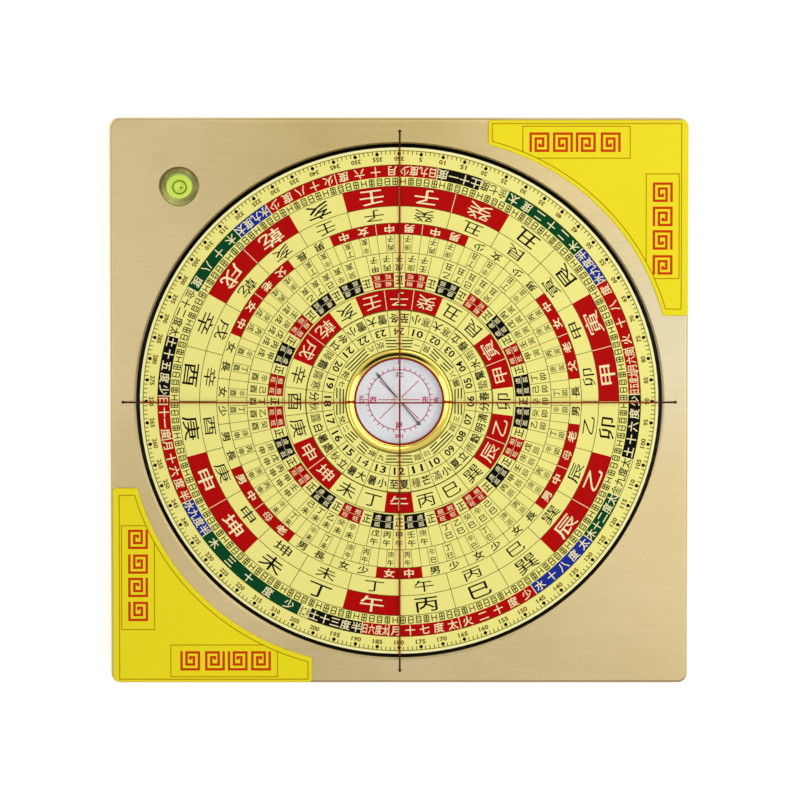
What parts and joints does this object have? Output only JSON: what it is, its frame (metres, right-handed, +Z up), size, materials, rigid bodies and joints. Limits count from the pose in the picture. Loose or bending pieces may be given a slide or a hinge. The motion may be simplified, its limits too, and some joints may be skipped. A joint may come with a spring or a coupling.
{
  "type": "feng shui compass",
  "caption": "Square base with a hand-turned printed dial, a glazed needle capsule at its centre, crossed sighting threads and a round spirit level in one corner.",
  "frame": {"origin": "middle of the underside, on the surface that the feet stand on", "axes": "+Z up, +Y towards the dial's 360 mark at rest, +X towards its 90 mark"},
  "size_m": [0.18, 0.18, 0.0139],
  "materials": {
    "gold_metal": "champagne gold anodised, finely brushed",
    "steel": "zinc plated",
    "rubber_feet": "matt black",
    "yellow_enamel": "bright yellow, satin gloss",
    "clear_acrylic": "clear cast acrylic",
    "level_fluid": "yellow-green level fluid",
    "level_seal": "yellow-green",
    "brass": "turned",
    "black_nylon": "matt black",
    "red_thread": "twisted nylon",
    "dial_print": "pale yellow printed sheet, satin",
    "capsule_card": "pale grey-blue printed card",
    "red_fibre": "dark red fibre",
    "white_nylon": "off-white, matt",
    "clear_glass": "clear polished",
    "black_enamel": "satin black, painted disc",
    "gold_trim": "polished gold",
    "black_steel": "blackened steel"
  },
  "bodies": {
    "base": {"base_frame": "gold_metal", "base_cover": "gold_metal", "cover_screws": "steel", "feet": "rubber_feet", "corner_plate_ne": "yellow_enamel", "corner_plate_sw": "yellow_enamel", "level_vial": "clear_acrylic", "level_plug": "level_seal", "level_liquid": "level_fluid", "dial_bush": "brass", "glide_ring": "black_nylon", "thread_north_south": "red_thread", "thread_east_west": "red_thread", "thread_ferrules": "brass"},
    "dial": {"dial_plate": "black_enamel", "dial_face": "dial_print", "dial_spindle": "brass", "thrust_washer": "black_nylon", "retaining_clip": "steel", "capsule_cup": "brass", "pivot_pin": "steel", "compass_card": "capsule_card", "spacer_ring": "white_nylon", "capsule_glass": "clear_glass", "glass_gasket": "red_fibre", "bezel": "gold_trim"},
    "needle": {"needle": "black_steel", "needle_cap": "brass"}
  },
  "joints": [
    {"name": "dial_turn", "type": "hinge", "parent": "base", "child": "dial", "pos_m": [0, 0, 0.0045], "axis": [0, 0, 1], "continuous": true},
    {"name": "needle_swing", "type": "hinge", "parent": "dial", "child": "needle", "pos_m": [0, 0, 0.0106], "axis": [0, 0, 1], "continuous": true}
  ]
}
